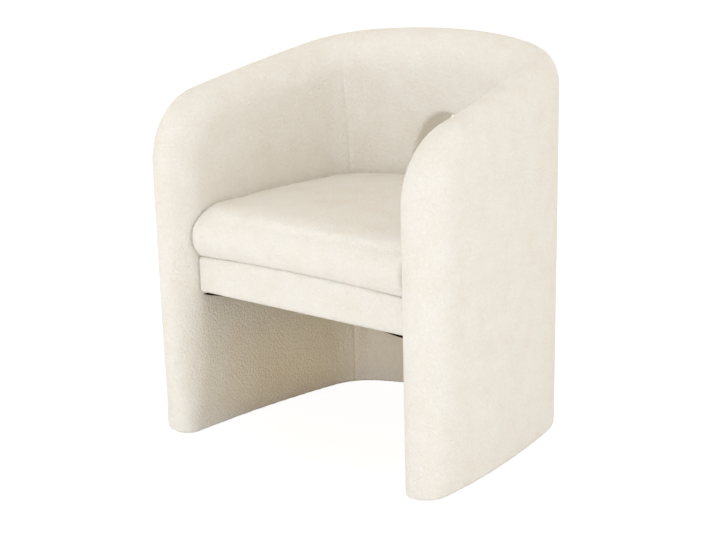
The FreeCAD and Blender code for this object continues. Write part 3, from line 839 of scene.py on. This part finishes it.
def make_camera():
    """The view of the photograph."""
    a, e, r = VIEW_AZIMUTH, VIEW_ELEVATION, VIEW_ROLL
    back = Vector((math.sin(a) * math.cos(e), -math.cos(a) * math.cos(e), math.sin(e)))
    right = Vector((math.cos(a), math.sin(a), 0))
    up = right.cross(-back)
    rolled_right = right * math.cos(r) + up * math.sin(r)
    rolled_up = up * math.cos(r) - right * math.sin(r)
    lens = bpy.data.cameras.new("view")
    lens.sensor_width = SENSOR
    lens.lens = LENS_PIXELS / IMAGE_WIDTH * SENSOR
    camera = new_object("view", lens)
    place = VIEW_TARGET + right * VIEW_ASIDE + back * VIEW_DISTANCE
    turned = Matrix((rolled_right, rolled_up, back)).transposed().to_4x4()
    camera.matrix_world = Matrix.Translation(place) @ turned
    bpy.context.scene.camera = camera


def area_light(name, place, target, size, power, colour):
    """A square lamp that faces its target and isn't seen itself."""
    light = bpy.data.lights.new(name, "AREA")
    light.size = size
    light.energy = power
    light.color = linear(colour)[:3]
    lamp = new_object(name, light)
    lamp.location = place
    lamp.rotation_euler = (Vector(target) - Vector(place)).to_track_quat("-Z", "Y").to_euler()
    lamp.visible_camera = False


def seen_white(tree):
    """1 for the rays of the eye, of mirrors and of glass, which see the surround as white."""
    path = tree.nodes.new("ShaderNodeLightPath")
    seen = path.outputs["Is Camera Ray"]
    for kind in ("Is Glossy Ray", "Is Transmission Ray"):
        either = add(tree, "ShaderNodeMath", seen, path.outputs[kind], settings={"use_clamp": True})
        seen = either.outputs[0]
    return seen


def make_surround():
    """Soft warm light from all round, seen as white."""
    world = bpy.data.worlds.new("white surround")
    world.use_nodes = True
    bpy.context.scene.world = world
    tree = world.node_tree
    tree.nodes.clear()
    soft = add(tree, "ShaderNodeBackground", Color=linear("#FFF0D4"), Strength=0.69)
    white = add(tree, "ShaderNodeBackground", Color=linear("#FFFFFF"), Strength=1.0)
    mix = add(tree, "ShaderNodeMixShader", seen_white(tree), soft.outputs[0], white.outputs[0])
    add(tree, "ShaderNodeOutputWorld", mix.outputs[0])


def make_floor():
    """White floor that keeps a faint shadow and gives warm light back under the seat."""
    bm = bmesh.new()
    bmesh.ops.create_grid(bm, x_segments=1, y_segments=1, size=FLOOR_HALF)
    mesh = bpy.data.meshes.new("floor")
    bm.to_mesh(mesh)
    bm.free()
    floor = new_object("floor", mesh)
    material, tree, place = surface("white studio floor", Roughness=0.9)
    shader = tree.nodes["Principled BSDF"]
    away = add(tree, "ShaderNodeVectorMath", place, settings={"operation": "LENGTH"})
    tone = add(tree, "ShaderNodeValToRGB", away.outputs["Value"],
               stops=[(FLOOR_WARM, "#F2D090"), (FLOOR_WHITE, "#F4F3F1")])
    tree.links.new(tone.outputs["Color"], shader.inputs["Base Color"])
    glow = add(tree, "ShaderNodeEmission", Color=linear("#FFFFFF"), Strength=FLOOR_GLOW)
    share = add(tree, "ShaderNodeMath", seen_white(tree), FLOOR_GLOW_SHARE,
                settings={"operation": "MULTIPLY"})
    mix = add(tree, "ShaderNodeMixShader", share.outputs[0], shader.outputs[0], glow.outputs[0])
    tree.links.new(mix.outputs[0], tree.nodes["Material Output"].inputs["Surface"])
    mesh.materials.append(material)


def make_lamps():
    """Wide soft lamps all round, in metres and watts, and a small warm one under the seat."""
    centre = (0, 0, 0.4)
    area_light("front", (0.4, -3.4, 0.9), centre, 2.4, 53, LAMP_COLOUR)
    area_light("right", (3.3, -0.3, 1.1), centre, 2.4, 46, LAMP_COLOUR)
    area_light("left", (-2.6, -2.0, 1.2), centre, 2.4, 28, LAMP_COLOUR)
    area_light("top", (0, 0.2, 3.2), centre, 2.6, 25, LAMP_COLOUR)
    area_light("floor bounce", (0, -0.05, 0.005), (0, -0.05, 1), 0.3, 0.18, BOUNCE_COLOUR)
    area_light("behind", (-1.2, 3.2, 1.6), centre, 2.4, 36, LAMP_COLOUR)


dress_cad_nodes()
make_wall()
make_cushion()
make_apron()
make_dust_cover()
make_base_strip()
make_camera()
make_surround()
make_floor()
make_lamps()
bpy.context.scene.view_settings.view_transform = "Standard"
